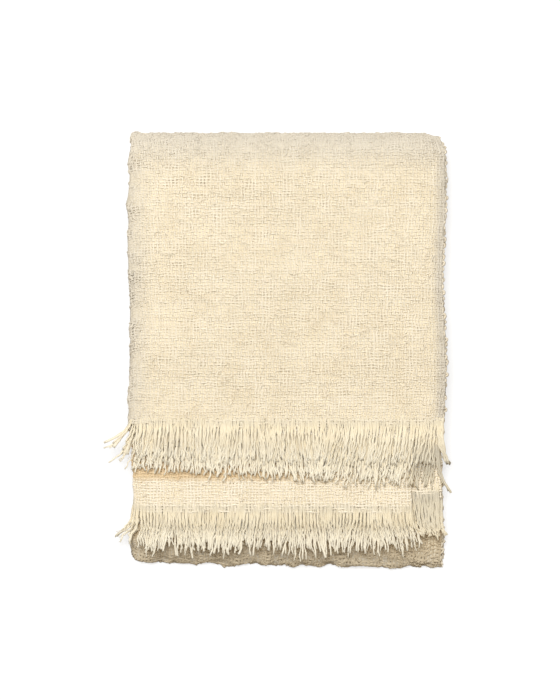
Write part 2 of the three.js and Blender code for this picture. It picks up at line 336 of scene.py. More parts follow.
def settle(x, y, z, slack=1.0):
    """The even stack's point (x, y, z) as it lies: edges shifted and waved by the square of the distance
    from the middle, the two lowest packets' left edges drawn in, corners drawn in or pushed out, folds
    rumpled a little, the near fold's upper layers drawn back, height scaled by the crown, the ripple and
    the left shoulder, and the right edge lowered by the square of its overhang. slack is how much of the
    near fold's dip a point takes: all for the cloth, none for loose strands. The underside stays on the
    floor."""
    height = z - BASE
    side, along_y = np.clip(x / HALF_WIDTH, -1, 1), np.clip(y / BACK_FOLD_Y, -1, 1)
    level = np.clip(z / PACKET - 0.5, 0, 3)
    left = np.interp(level, range(4), PACKET_SHIFT_LEFT) + edge_wave(y, *LEFT_WAVE)
    left = left + DRAWN_IN * np.clip(2 - level, 0, 1) * (1 - ease(-y, DRAWN_START, DRAWN_STOP))
    right = np.interp(level, range(4), PACKET_SHIFT_RIGHT) + edge_wave(y, *RIGHT_WAVE)
    new_x = x + np.where(side < 0, left, right) * side * side
    new_y = y + 0.0
    for sx, sy, pull, reach in CORNERS:
        near = ease(sx * x, HALF_WIDTH - reach, HALF_WIDTH) * ease(sy * y, BACK_FOLD_Y - reach, BACK_FOLD_Y)
        new_x = new_x - sx * pull * near
        new_y = new_y - sy * pull * near
    new_y = new_y - rumpled(rumple(x, 2 * z), -y, *NEAR_RUMPLE) + rumpled(rumple(x, 2 * z), y, *BACK_RUMPLE)
    new_x = new_x - rumpled(rumple(2 * z, y), -x, *LEFT_RUMPLE)
    new_y = new_y + SLOPE_SHARE * height * ease(-y, SLOPE_START, SLOPE_STOP)
    crown = 1 + CROWN * (1 - side**2) * (1 - along_y**2) + RIPPLE * ripple(x, y)
    shoulder = 1 - SHOULDER_SHARE * ease(-x, SHOULDER_START, SHOULDER_STOP)
    overhang = np.clip((x - SAG_START) / (HALF_WIDTH - SAG_START), 0, SAG_MOST) ** 2
    lower_room = np.clip((z - 2 * LAYER) / PACKET, 0, 1)
    upper_room = np.clip((z - 2 * PACKET - 2 * LAYER) / PACKET, 0, 1)
    sag = overhang * (SAG_LOWER * lower_room + (SAG_UPPER - SAG_LOWER) * upper_room)
    dip = 1 - slack * DIP_SHARE * ease(-y, DIP_START, DIP_STOP)
    return np.stack([new_x, new_y, np.maximum((height * crown - sag) * shoulder * dip, 0)], axis=-1)


print("height of the settled stack's middle in mm:", round(float(settle(0.0, 0.0, 4 * PACKET)[2]), 1))


# %% From flat cloth to folded


def place(u, v, h, from_far_end=False):
    """The folded place of the cloth's point (u, v) at height h over its middle. With from_far_end, v runs
    from the other cut end."""
    u, v, h = np.broadcast_arrays(np.asarray(u, float), v, h)
    x, n, nx, nn, *layers = across(u)
    if from_far_end:
        v = length_starts(x, n, *layers)[-1] - v
    y, z = along(v, x + h * nx, n + h * nn, n, layers)
    return settle(x + h * nx, y, z)


MEASURED_AT = 100.0
x, n, nx, nn, *layers = across(np.array([MEASURED_AT]))
starts = length_starts(x, n, *layers)[:, 0]
TOP_RUN, BACK_TURN, UNDER_RUN, NEAR_TURN, _, _, BAND_RUN = np.diff(starts)
NEAR_START = TOP_RUN + BACK_TURN + UNDER_RUN
NEAR_STOP = NEAR_START + NEAR_TURN
CLOTH_LENGTH = float(starts[-1])
print("cloth length in mm:", round(CLOTH_LENGTH))

# %% [markdown]
# Writing meshes
#
# Thousands of yarns as single objects, or as curves with a bevel, would choke Blender, so each group of
# them is one joined mesh, written from whole arrays. A yarn is a tube: rings of a few points carried along
# its line, with a cap on each end. Every tube also gets an upright strip of its own in a map for baked
# textures, because an automatic unwrap of so many small tubes would waste most of the picture.

# %% One mesh from arrays


def write_mesh(name, points, face_groups, bake_map, values):
    """One object from points in millimetres and groups of faces that have equally many corners, with a
    map corner by corner and named numbers point by point."""
    corners = np.concatenate([group.ravel() for group in face_groups])
    sizes = np.concatenate([np.full(len(group), group.shape[1]) for group in face_groups])
    mesh = bpy.data.meshes.new(name)
    mesh.vertices.add(len(points))
    mesh.vertices.foreach_set("co", (points * MM).astype(np.float32).ravel())
    mesh.loops.add(len(corners))
    mesh.loops.foreach_set("vertex_index", corners.astype(np.int32))
    mesh.polygons.add(len(sizes))
    mesh.polygons.foreach_set("loop_start", (np.cumsum(sizes) - sizes).astype(np.int32))
    mesh.polygons.foreach_set("use_smooth", np.ones(len(sizes), dtype=bool))
    mesh.update(calc_edges=True)
    mesh.uv_layers.new(name="OFBake").data.foreach_set("uv", bake_map.astype(np.float32).ravel())
    for value_name, numbers in values.items():
        store = mesh.attributes.new(value_name, "FLOAT", "POINT")
        store.data.foreach_set("value", numbers.astype(np.float32).ravel())
    piece = bpy.data.objects.new(name, mesh)
    bpy.context.scene.collection.objects.link(piece)
    print(name, "has", int((sizes - 2).sum()), "triangles")
    return piece


def is_inside_out(points, quads):
    """True if the volume under the quads, summed as pyramids from their own middle, is negative."""
    p = points[quads] - points.mean(0)
    cross = np.cross(p[:, 2] - p[:, 0], p[:, 3] - p[:, 1])
    return (p.mean(1) * cross).sum() < 0


# %% Tubes and their map
# which corners of a quad are its right ones and its upper ones
RIGHT, UP = np.array([0, 1, 1, 0]), np.array([0, 0, 1, 1])
STRIP_MARGIN, END_MARGIN = 0.02, 0.01
CAP_PLACES, CAP_WIDE, CAP_HIGH = np.array([0.005, 0.995]), 0.4, 0.004


def inset(share, margin):
    """A share from 0 to 1, kept off both ends by the margin."""
    return margin + (1 - 2 * margin) * share


def map_points(sideways, upwards):
    """Points of a map from their two measures, spread to one shape."""
    return np.stack(np.broadcast_arrays(sideways, upwards), axis=-1)


def tubes(name, groups):
    """Closed tubes from groups of (rings, tone, tip): rings is an array (tubes, steps, sides, 3), joined by
    quads, with a cap on each end. tone is one number per tube, and tip one per tube and step."""
    strips = sum(len(rings) for rings, tone, tip in groups)
    points, quads, caps, quad_map, cap_map, tones, tips = [], [], [], [], [], [], []
    offset = strip = 0
    for rings, tone, tip in groups:
        count, steps, sides, _ = rings.shape
        index = np.arange(rings.size // 3).reshape(count, steps, sides)
        beside = np.roll(index, -1, axis=2)
        faces = np.stack([index[:, :-1], beside[:, :-1], beside[:, 1:], index[:, 1:]], axis=-1)
        lids = np.stack([index[:, 0, ::-1], index[:, -1]], axis=1)
        tube, step, side = np.ogrid[:count, : steps - 1, :sides]
        on_strip = inset((side[..., None] + inset(RIGHT, STRIP_MARGIN)) / sides, STRIP_MARGIN)
        on_length = inset((step[..., None] + UP) / (steps - 1), END_MARGIN)
        faces_map = map_points((strip + tube[..., None] + on_strip) / strips, on_length)
        around = 2 * np.pi * np.arange(sides) / sides
        on_strip = 0.5 + CAP_WIDE * np.cos(around)
        on_length = CAP_PLACES[None, :, None] + CAP_HIGH * np.sin(around)
        lids_map = map_points((strip + np.arange(count)[:, None, None] + on_strip) / strips, on_length)
        flat = rings.reshape(-1, 3)
        faces, faces_map = faces.reshape(-1, 4), faces_map.reshape(-1, 4, 2)
        lids, lids_map = lids.reshape(-1, sides), lids_map.reshape(-1, sides, 2)
        if is_inside_out(flat, faces):
            faces, faces_map = faces[:, ::-1], faces_map[:, ::-1]
            lids, lids_map = lids[:, ::-1], lids_map[:, ::-1]
        points.append(flat)
        quads.append(faces + offset)
        caps.append(lids + offset)
        quad_map.append(faces_map.reshape(-1, 2))
        cap_map.append(lids_map.reshape(-1, 2))
        tones.append(np.broadcast_to(tone[:, None, None], index.shape).ravel())
        tips.append(np.broadcast_to(tip[:, :, None], index.shape).ravel())
        offset += len(flat)
        strip += count
    values = {"tone": np.concatenate(tones), "tip": np.concatenate(tips)}
    return write_mesh(name, np.concatenate(points), quads + caps, np.concatenate(quad_map + cap_map), values)


# %% [markdown]
# The sheet
#
# Under the yarns lies the cloth itself: one closed sheet, folded sixteen deep, that gives every layer its
# edge and keeps light from passing between the yarns. An open sheet with a Solidify modifier could do it,
# but would lose its even thickness in the tight turns. So its section runs out along one face of the cloth
# and back along the other, and that ring is carried along the whole length. Steps are short only where
# the sheet turns or shows.

# %% Steps along the sheet
RUN_STEP, MIDDLE_STEP, FINE_STEP, FINE_REACH = 18.0, 7.0, 5.0, 45.0
# a narrow row at each cut end, so that smooth shading bends round the end in that row alone
END_ROW = 0.6
WIDTH_STEPS = ["fine", 8, "fine", 6, "run", 6, "fine"]
LENGTH_STEPS = ["run", 22, "run", 14, "fine", 6, "fine"]


def path_steps(lengths, kinds):
    """Places along a path of stretches, as (stretch, share): a turn has the number of even steps that its
    kind gives, a run has steps of one size, and a fine run has smaller ones, smallest near both ends."""
    stretch, share = [], []
    for k, (length, kind) in enumerate(zip(lengths, kinds)):
        if kind == "fine":
            inner = np.arange(FINE_REACH, length - FINE_REACH, MIDDLE_STEP)
            ends = np.arange(0, FINE_REACH, FINE_STEP)
            places = np.concatenate([ends, inner, length - FINE_REACH + ends]) / length
        else:
            steps = int(np.ceil(length / RUN_STEP)) if kind == "run" else kind
            places = np.arange(steps) / steps
        stretch += [k] * len(places)
        share += list(places)
    return np.array(stretch + [len(lengths) - 1]), np.array(share + [1.0])


def sheet_steps():
    """The sheet's places u, and for each of them its places v, with the stretch of each row and the
    running lengths at which the stretches start."""
    k, f = path_steps([row[0] for row in WIDTH_STRETCHES], WIDTH_STEPS)
    u = WIDTH_STARTS[k] + f * (WIDTH_STARTS[k + 1] - WIDTH_STARTS[k])
    x, n, nx, nn, *layers = across(u)
    starts = length_starts(x, n, *layers)
    k, f = path_steps(np.diff(starts[:, 0]), LENGTH_STEPS)
    k = np.insert(k, [1, len(k) - 1], [0, len(starts) - 2])
    f = np.insert(f, [1, len(f) - 1], [END_ROW / TOP_RUN, 1 - END_ROW / BAND_RUN])
    return u, starts[k] + f[:, None] * (starts[k + 1] - starts[k]), k, starts


print("sheet steps across and along:", len(sheet_steps()[0]), len(sheet_steps()[1]))

# %% Where the turned edges and the band get painted shade
# reaches from the start of the left fold, the start of the back fold, the first selvedge, and the stop of
# the near fold, on the ledge that lies over it and keeps its own colour
LEFT_GREYED, BACK_GREYED, SELVEDGE_GREYED = (-26, 14), (-30, 22), (3, 15)
LEDGE_CLEARS, LEDGE_GREYS_AGAIN = (-0.4 * NEAR_TURN, 8), (60, 75)
# on the band, reaches from the cut end and from the left fold of the painted shadow under the front fringe
BAND_SHADOW_IN, BAND_SHADOW_FADES = (23, 30), (130, 240)


def ease_from(x, start, reach):
    """ease over a reach that is measured from start."""
    return ease(x, start + reach[0], start + reach[1])


def painted_shade_tone(u, v, from_far_end):
    """How far the loops take painted tones: up to 1 where they are painted greyer, for the shade and sheen of
    turned edges, at the first selvedge, round the left fold, and from the back fold on to the outer side of
    the near fold, and down to -1 where they are painted deeper, for the shadow on the band where it goes in
    under the front fringe. It eases over each one's reach."""
    if from_far_end:
        return -ease(v, *BAND_SHADOW_IN) * (1 - ease_from(u, WIDTH_STARTS[2], BAND_SHADOW_FADES))
    folds = np.maximum(ease_from(u, LONG_RUN, LEFT_GREYED), ease_from(v, TOP_RUN, BACK_GREYED))
    ledge = ease_from(v, NEAR_STOP, LEDGE_CLEARS) * (1 - ease_from(v, NEAR_STOP, LEDGE_GREYS_AGAIN))
    return np.sqrt(np.maximum(folds, 1 - ease(u, *SELVEDGE_GREYED)) * (1 - ledge))


band_deep = painted_shade_tone(np.array([WIDTH_STARTS[2]]), np.array([BAND_SHADOW_IN[1]]), True)
print("wear on the left fold and deep under the front fringe:", painted_shade_tone(LONG_RUN + 20, 100.0, False), band_deep)

# %% The folded sheet
SHEET_HALF, EDGE_SHEET_HALF = 0.89, 0.98
SIDE_EDGE, END_EDGE, BACK_EDGE = (15, 60), (8, 40), 45
NEAR_STRETCHES = (3, 4)
SHEET_MARGIN, NEAR_LID_STRIP, FAR_LID_STRIP = 0.002, np.array([0.001, 0.008]), np.array([0.992, 0.999])


def sheet_faces(rows, sides):
    """Quads that join the sheet's rings, quads that close its two cut ends, and the map of each: the first
    fill the map but for a strip at its bottom and one at its top, which take the ends."""
    index = np.arange(rows * sides).reshape(rows, sides)
    beside = np.roll(index, -1, axis=1)
    quads = np.stack([index[:-1], beside[:-1], beside[1:], index[1:]], axis=-1).reshape(-1, 4)
    row, side = np.ogrid[: rows - 1, :sides]
    around, along_sheet = (side[..., None] + RIGHT) / sides, (row[..., None] + UP) / (rows - 1)
    quads_map = map_points(inset(around, SHEET_MARGIN), inset(along_sheet, END_MARGIN)).reshape(-1, 4, 2)
    half = sides // 2
    near, near_back = index[0, :half], index[0, ::-1][:half]
    far, far_back = index[-1, :half], index[-1, ::-1][:half]
    near_lid = np.stack([near[:-1], near_back[:-1], near_back[1:], near[1:]], axis=-1)
    far_lid = np.stack([far[:-1], far[1:], far_back[1:], far_back[:-1]], axis=-1)
    step = np.arange(half - 1)[:, None]
    near_map = map_points(inset((step + UP) / half, SHEET_MARGIN), NEAR_LID_STRIP[RIGHT])
    far_map = map_points(inset((step + RIGHT) / half, SHEET_MARGIN), FAR_LID_STRIP[UP])
    lids, lids_map = np.concatenate([near_lid, far_lid]), np.concatenate([near_map, far_map])
    return quads, lids, np.concatenate([quads_map, lids_map])


def folded_sheet(name):
    """The closed sheet: place(u, v, +half) out and place(u, v, -half) back make the section's ring. It is
    thicker near its edges and round the near fold, where less dark shows between the yarns."""
    u, v, stretch, starts = sheet_steps()
    close, far = SIDE_EDGE
    edge = 1 - ease(u, close, far) + ease(u, LONG_RUN - far, LONG_RUN - close)
    edge = edge + 1 - ease(v, *END_EDGE) + ease(v, starts[1] - BACK_EDGE, starts[1])
    edge = np.where(np.isin(stretch, NEAR_STRETCHES)[:, None], 1, np.clip(edge, 0, 1))
    half_thick = SHEET_HALF + (EDGE_SHEET_HALF - SHEET_HALF) * edge
    face, back = place(u[None], v, half_thick), place(u[None], v, -half_thick)
    rings = np.concatenate([face, back[:, ::-1]], axis=1)
    quads, lids, maps = sheet_faces(*rings.shape[:2])
    faces, points = np.concatenate([quads, lids]), rings.reshape(-1, 3)
    if is_inside_out(points, quads):
        faces, maps = faces[:, ::-1], maps[:, ::-1]
    # the sheet's tip value is painted grey shade on turned edges and painted shadow on the band
    worn = np.where(v > starts[-2], painted_shade_tone(u, starts[-1] - v, True), painted_shade_tone(u, v, False))
    values = {"flat_u": np.broadcast_to(u, v.shape), "flat_v": v, "tip": worn}
    values = {key: np.concatenate([value, value[:, ::-1]], axis=1) for key, value in values.items()}
    return write_mesh(name, points, [faces], maps.reshape(-1, 2), values)


cloth = folded_sheet("throw_cloth_sheet")

# %% [markdown]
# The weave
#
# Boucle is woven from a thick looped yarn that swells and thins along its length, so the plain weave looks
# like a grid in some patches and like soft fluff in others. A bump could draw the grid, but it would cast
# no shade and leave the folds smooth in outline. So each warp and weft is a real yarn here: it goes over
# and under its neighbours as a cosine of the crossing's number, and smooth random fields move it sideways,
# thicken it and lift it. Both yarn systems read the same fields, so crossings stay crossings. Three sides
# are enough for a yarn this small, because the shading is smooth and its flat underside lies in the sheet.

# %% The line of a yarn
WARP_PITCH, WEFT_PITCH = 3.73, 3.16
YARN_RISE, YARN_CRIMP = 0.8, 0.42
SWELL, SLUB_SWELL, FLUFF_SWELL, SWELL_LIMITS = 1.02, 0.11, 0.06, (0.96, 1.4)
CALM, CALM_FLUFF = 0.65, (-0.3, 1.0)
FULLED_SWELL, FULLED_FLAT, FULLED_CALM = 0.5, 0.5, 0.7
DRIFT, FLUFF_RISE = 0.4, 0.05
# how far apart in the field of slubs neighbouring yarns lie
SLUB_APART = 61.7
drift_u, drift_v = waves(11, 8, 34, 20), waves(12, 8, 34, 20)
fluff, slub, lump = waves(13, 14, 44, 20), waves(14, 9, 40, 20), waves(15, 6, 15, 20)


def yarn_numbers(reach, pitch):
    """The numbers of the yarns whose middles lie within reach."""
    return np.arange(np.ceil(reach[0] / pitch - 0.5), np.floor(reach[1] / pitch - 0.5) + 1)


def half_steps(reach, pitch):
    """Places along a yarn at each crossing and halfway between crossings."""
    return np.arange(np.floor(2 * reach[0] / pitch), np.ceil(2 * reach[1] / pitch) + 1) * pitch / 2


def yarn_line(number, u, v, s, over, rough, fulled):
    """What the random fields make of a yarn: its sideways drift, its height as rise plus crimp times
    over plus soft and small lumps, and how far it swells. s is the place along the yarn. Where the cloth
    is fulled, from 0 to 1, its yarns are fatter and flatter, and where it is fluffy, its crimp is calmer."""
    soft = fluff(u, v)
    swell = np.clip(SWELL + SLUB_SWELL * slub(number * SLUB_APART, s) + FLUFF_SWELL * soft, *SWELL_LIMITS)
    calm = (1 - CALM * ease(soft, *CALM_FLUFF)) * (1 - FULLED_CALM * fulled)
    height = YARN_RISE + YARN_CRIMP * calm * over + rough * lump(u, v) + FLUFF_RISE * soft
    return DRIFT * drift_u(u, v), DRIFT * drift_v(u, v), height, swell * (1 + FULLED_SWELL * fulled)


print("warps and wefts in the cloth:", int(CLOTH_WIDTH / WARP_PITCH), int(CLOTH_LENGTH / WEFT_PITCH))

# %% Warps and wefts
# half a yarn's width and its height, and the three corners of its section
WARP_HALF, WEFT_HALF = (1.42, 0.62), (1.22, 0.58)
YARN_SIDE, YARN_UP = np.array([1.0, 0.0, -1.0]), np.array([-0.2, 1.0, -0.2])
# how far yarns go on past the cut end, where they are held fast again, how far they sink and how thin
LOOSE_REACH, WARP_HELD, WEFT_HELD = 9.0, 4.0, 2.0
WARP_SINK, WEFT_SINK, LOOSE_THICK = 0.3, 0.6, 0.6
FRAY_REACH, FRAY_UNEVEN, FRAY_APART = 3.0, 2.5, 17.3
PLAIN_ROUGH, WEFT_SLUBS = 0.06, 900
TONES, WARP_SEED, WEFT_SEED = 600, 21, 22


def loosened(height, swell, held, sink):
    """Height less the sink, and swell down to the loose thickness, as far as a yarn isn't held."""
    return height - sink * (1 - held), swell * (LOOSE_THICK + (1 - LOOSE_THICK) * held)


def own_tone(number, seed):
    """One random tone for each yarn, the same wherever that yarn shows."""
    return np.random.default_rng(seed).normal(0, 1, TONES)[number[:, 0].astype(int) % TONES]


def warps(u_reach, v_reach, from_far_end=False, rough=PLAIN_ROUGH, fulled=0.0, face=1):
    """Warp yarns that fill a patch: along v, at (number + 1/2) pitches of u, over where number plus
    crossing is even. face is 1 for the cloth's own upper face, -1 for its back. Past the cut end, where v
    is negative, they straighten and thin out among the strands."""
    number = yarn_numbers(u_reach, WARP_PITCH)[:, None]
    u, v = (number + 0.5) * WARP_PITCH, half_steps(v_reach, WEFT_PITCH)[None]
    held = ease(v, -LOOSE_REACH, WARP_HELD)
    over = held * np.cos(np.pi * (v / WEFT_PITCH - 0.5 + number))
    du, dv, height, swell = yarn_line(number, u, v, v, over, rough, fulled)
    height, swell = loosened(height, swell, held, WARP_SINK)
    ring_u = (u + du)[..., None] + WARP_HALF[0] * swell[..., None] * YARN_SIDE
    ring_h = height[..., None] + WARP_HALF[1] * (1 - FULLED_FLAT * fulled) * swell[..., None] * YARN_UP
    rings = place(ring_u, (v + dv)[..., None], face * ring_h, from_far_end)
    # the tip value is painted grey shade on turned edges and painted shadow on the band under the front
    # fringe
    return rings, own_tone(number, WARP_SEED), painted_shade_tone(u, v, from_far_end)


def wefts(u_reach, v_reach, from_far_end=False, rough=PLAIN_ROUGH, fulled=0.0, face=1):
    """Weft yarns that fill a patch: along u, at (number + 1/2) pitches of v, over where the warps go
    under. Near the cut end they thin out and sink among the strands, sooner in some places."""
    number = yarn_numbers(v_reach, WEFT_PITCH)[:, None]
    u, v = half_steps(u_reach, WARP_PITCH)[None], (number + 0.5) * WEFT_PITCH
    over = -np.cos(np.pi * (u / WARP_PITCH - 0.5 + number))
    du, dv, height, swell = yarn_line(number + WEFT_SLUBS, u, v, u, over, rough, fulled)
    held = ease(v + FRAY_UNEVEN * slub(number * FRAY_APART, u), -LOOSE_REACH - FRAY_REACH, WEFT_HELD)
    height, swell = loosened(height, swell, held, WEFT_SINK)
    ring_v = (v + dv)[..., None] + WEFT_HALF[0] * swell[..., None] * YARN_SIDE
    ring_h = height[..., None] + WEFT_HALF[1] * (1 - FULLED_FLAT * fulled) * swell[..., None] * YARN_UP
    rings = place((u + du)[..., None], ring_v, face * ring_h, from_far_end)
    # the tip value is painted grey shade on turned edges and painted shadow on the band under the front
    # fringe
    return rings, own_tone(number, WEFT_SEED), painted_shade_tone(u, v, from_far_end)


print("width of a warp and of a weft in mm:", 2 * WARP_HALF[0], 2 * WEFT_HALF[0])

# %% [markdown]
# Where the yarns go
#
# Yarns over the whole cloth would be some five million triangles. So they are laid only where the cloth
# shows: the whole top panel and on round the back and left folds, the near fold with the ledge above it,
# the band between the two fringes, the step of the second layer that shows through the front fringe, and
# the left side of the packets that lie under. Inside the stack and on the underside the bump of the sheet
# is enough.

# %% Patches of weave
# how far each patch goes on past the place that it has to cover
FOLD_LAP, BACK_LAP, SIDE_LAP, BAND_LAP, STEP_LAP = 5, 8, 4, 6, 2
BAND_DEPTH, LEDGE_DEPTH, TUCK, STEP_DEPTH, STEP_WIDTH = 88.0, 76.0, 10.0, 28.0, 44
NEAR_ROUGH, NEAR_FULLED = 0.08, 0.6
FOLD_END = WIDTH_STARTS[2] + FOLD_LAP
top_reach = (-LOOSE_REACH, TOP_RUN + BACK_TURN + BACK_LAP)
near_reach = (NEAR_START - TUCK, NEAR_STOP + LEDGE_DEPTH)
band_reach = (-LOOSE_REACH, BAND_DEPTH)
band_u = (WIDTH_STARTS[1] - SIDE_LAP, WIDTH_STARTS[4] + BAND_LAP)
band_right_u = (CLOTH_WIDTH - STEP_WIDTH, CLOTH_WIDTH)
step_u = (WIDTH_STARTS[6] - STEP_LAP, CLOTH_WIDTH)
side_u = (WIDTH_STARTS[1] - SIDE_LAP, FOLD_END)
side_low = (top_reach[1], near_reach[0])
side_high = (near_reach[1], CLOTH_LENGTH - BAND_DEPTH - SIDE_LAP)


def weave(*patch, **how):
    """Both yarn systems over one patch."""
    return [warps(*patch, **how), wefts(*patch, **how)]


panel_warp = tubes("panel_warp", [warps((0, FOLD_END), top_reach)])
panel_weft = tubes("panel_weft", [wefts((0, FOLD_END), top_reach)])
near_weave = tubes("near_fold_weave", weave((0, FOLD_END), near_reach, rough=NEAR_ROUGH, fulled=NEAR_FULLED))
band_groups = weave(band_u, band_reach, True) + weave(band_right_u, band_reach, True)
band_weave = tubes("band_weave", band_groups + weave(step_u, (0, STEP_DEPTH), face=-1))
side_weave = tubes("side_weave", weave(side_u, side_low) + weave(side_u, side_high))

# %% [markdown]
# Selvedges
#
# At the cloth's long edges each weft turns back into the next one, which leaves a row of small loops. They
# make the scalloped right edge of the folded throw. Cutting scallops into the sheet would leave them flat,
# so each loop is a short tube: half an ellipse that stands out from the edge by its own reach.

# %% Selvedge loops
LOOP_STEPS = 9
# the four corners of a round yarn's section
LOOP_SIDE, LOOP_UP = np.array([1.0, 0.0, -1.0, 0.0]), np.array([0.0, 1.0, 0.0, -1.0])
LOOP_REACH, LOOP_WAVE, LOOP_WAVE_LIMITS, LOOP_UNEVEN = 1.7, 1.1, (-0.9, 1.6), 0.5
LOOP_HALF, LOOP_TILT = (0.5, 0.85), (-0.5, 0.9)
LOOP_THICK, LOOP_THICK_SPREAD, LOOP_FLAT = 1.05, (0.8, 1.25), 0.9
LOOP_SUNK, LOOP_RISE, EDGES_APART, TINY = 1.0, 0.2, 50.0, 1e-6
loop_reach = waves(31, 9, 30)


def selvedge(edge_u, outward, seed):
    """Loops along one selvedge: u = edge + outward * reach * cos(angle) and v = middle + half a pitch times
    sin(angle), for angles from -90 to 90 degrees, with a ring of four points about that line."""
    middle = (2 * np.arange(int(CLOTH_LENGTH / WEFT_PITCH / 2)) + 1)[:, None] * WEFT_PITCH
    angle = np.linspace(-np.pi / 2, np.pi / 2, LOOP_STEPS)[None]
    dice = np.random.default_rng(seed)
    reach = LOOP_REACH + LOOP_WAVE * np.clip(loop_reach(middle, seed * EDGES_APART), *LOOP_WAVE_LIMITS)
    reach = reach + dice.uniform(-LOOP_UNEVEN, LOOP_UNEVEN, middle.shape)
    half = WEFT_PITCH * dice.uniform(*LOOP_HALF, middle.shape)
    tilt = dice.uniform(*LOOP_TILT, middle.shape)
    u, v = edge_u + outward * (reach * np.cos(angle) - LOOP_SUNK), middle + half * np.sin(angle)
    h = LOOP_RISE + tilt * np.cos(angle)
    slope_u, slope_v = -outward * reach * np.sin(angle), half * np.cos(angle)
    size = np.hypot(slope_u, slope_v) + TINY
    thick = (LOOP_THICK * dice.uniform(*LOOP_THICK_SPREAD, middle.shape))[..., None]
    ring_u = u[..., None] + thick * (slope_v / size)[..., None] * LOOP_SIDE
    ring_v = v[..., None] - thick * (slope_u / size)[..., None] * LOOP_SIDE
    ring_h = h[..., None] + LOOP_FLAT * thick * LOOP_UP
    rings = place(ring_u, ring_v, ring_h)
    return rings, dice.normal(0, 1, len(rings)), np.zeros(rings.shape[:2])


selvedge_loops = tubes("selvedge_loops", [selvedge(0.0, -1, seed=1), selvedge(CLOTH_WIDTH, 1, seed=2)])

# %% [markdown]
# Curls
#
# What makes boucle is the loops that its yarn throws up at random. They lie on the weave as small open
# curls and blur its grid. Hair could scatter them, but its strands stand up and don't go back into the
# cloth. So each curl is an arc of a circle with a random radius, start and sweep, sunk into the cloth at
# both ends, and worked out in flat cloth measures like the yarns, so it follows every fold.

# %% Boucle curls
CURL_STEPS = 6
# curls to a square centimetre
FEW_CURLS, MANY_CURLS = 0.7, 2.5
CURL_RADIUS, CURL_SWEEP = (1.6, 4.2), (1.6, 4.6)
CURL_FOOT, CURL_RISE = 0.7, (0.5, 1.3)
CURL_THICK, CURL_END_THICK, CURL_MIDDLE_MORE = (0.45, 0.75), 0.75, 0.35


def curls(u_reach, v_reach, seed, per_cm2=FEW_CURLS, from_far_end=False):
    """Curls scattered over a patch: u and v on a circle about a random middle, height a half sine from
    under the yarns to above them and back, with a ring of four points across."""
    dice = np.random.default_rng(seed)
    area_cm2 = (u_reach[1] - u_reach[0]) * (v_reach[1] - v_reach[0]) / 100
    shape = (int(per_cm2 * area_cm2), 1)
    middle_u, middle_v = dice.uniform(*u_reach, shape), dice.uniform(*v_reach, shape)
    radius, start = dice.uniform(*CURL_RADIUS, shape), dice.uniform(0, 2 * np.pi, shape)
    sweep = dice.uniform(*CURL_SWEEP, shape) * np.sign(dice.uniform(-1, 1, shape))
    share = np.linspace(0, 1, CURL_STEPS)[None]
    angle, arch = start + sweep * share, np.sin(np.pi * share)
    rise = CURL_FOOT + dice.uniform(*CURL_RISE, shape) * arch
    thick = (dice.uniform(*CURL_THICK, shape) * (CURL_END_THICK + CURL_MIDDLE_MORE * arch))[..., None]
    ring_radius = radius[..., None] + thick * LOOP_SIDE
    ring_u = middle_u[..., None] + ring_radius * np.cos(angle)[..., None]
    ring_v = middle_v[..., None] + ring_radius * np.sin(angle)[..., None]
    rings = place(ring_u, ring_v, rise[..., None] + thick * LOOP_UP, from_far_end)
    # each curl takes the painted tone of the cloth under it: grey shade on turned edges, shadow on the band
    worn = np.broadcast_to(painted_shade_tone(middle_u, middle_v, from_far_end), rings.shape[:2])
    return rings, dice.normal(0, 1, len(rings)), worn


# how far from the selvedge and the cut ends curls start, and how far round the folds they go
EDGE_CLEAR, END_CLEAR, BAND_CURLS = 1, 4, (3, 30)
BACK_CURLS, LEDGE_CURLS, LEFT_CURLS = 45, 20, 5
panel_u, panel_v = (EDGE_CLEAR, FOLD_END), (END_CLEAR, TOP_RUN)
left_u, back_v = (LONG_RUN - LEFT_CURLS, FOLD_END), (TOP_RUN, TOP_RUN + BACK_CURLS)
near_v = (NEAR_START - TUCK, NEAR_STOP + LEDGE_CURLS)
curl_groups = [curls(panel_u, panel_v, seed=61), curls(band_u, BAND_CURLS, seed=63, from_far_end=True)]
curl_groups += [curls(panel_u, back_v, 64, MANY_CURLS), curls(left_u, panel_v, 65, MANY_CURLS)]
boucle_curls = tubes("boucle_curls", curl_groups)
near_curls = tubes("near_fold_curls", [curls(panel_u, near_v, 62, MANY_CURLS)])

# %% [markdown]
# Fringe
#
# Every warp runs on past the cut end and opens into two loose strands. Strands kink, draw together in
# clumps with dark gaps between them, fall to whatever lies under them, and at the outer fold swing out
# past the edge in a small tuft. Combed hair could pass for them from above, but it exports as nothing and
# knows no rows. So all strands of one end are worked out together, as tubes: a path of thirteen steps for
# each, and a ring of five points round it.

# %% How strands lean and clump
LEAN_LEFT_REACH, LEAN_RIGHT_REACH, LEFT_LEAN_POWER = 9.0, 12.0, 0.55
LEFT_LEAN_SPREAD, RIGHT_LEAN_SPREAD = (0.75, 1.0), (0.3, 1.0)
# the outermost warps of the cloth are thicker cords
EDGE_CORD, CORD_LONGER, CORD_THICKER = 7.0, 2.0, 0.6
CLUMP_WIDTH, CLUMP_LEAST, CLUMP_MORE, CLUMPS = 6.5, 0.05, 0.3, 997
CLUMP_UNEVEN, CLUMP_CLOSER, CLUMP_ROW = 1.8, 1.7, 2.3
SWAY, STRAY_ASIDE, COMBED, COMBED_LEFT, COMBS_APART = 0.9, 1.4, 3.2, 2.2, 40.0
# beside the low right step, the under fringe leans towards it
STEP_LEAN, BY_STEP = 8.0, (-45, -15)
sway, ragged, combed = waves(41, 14, 40, 18), waves(42, 9, 32, 18), waves(43, 45, 130, 12)


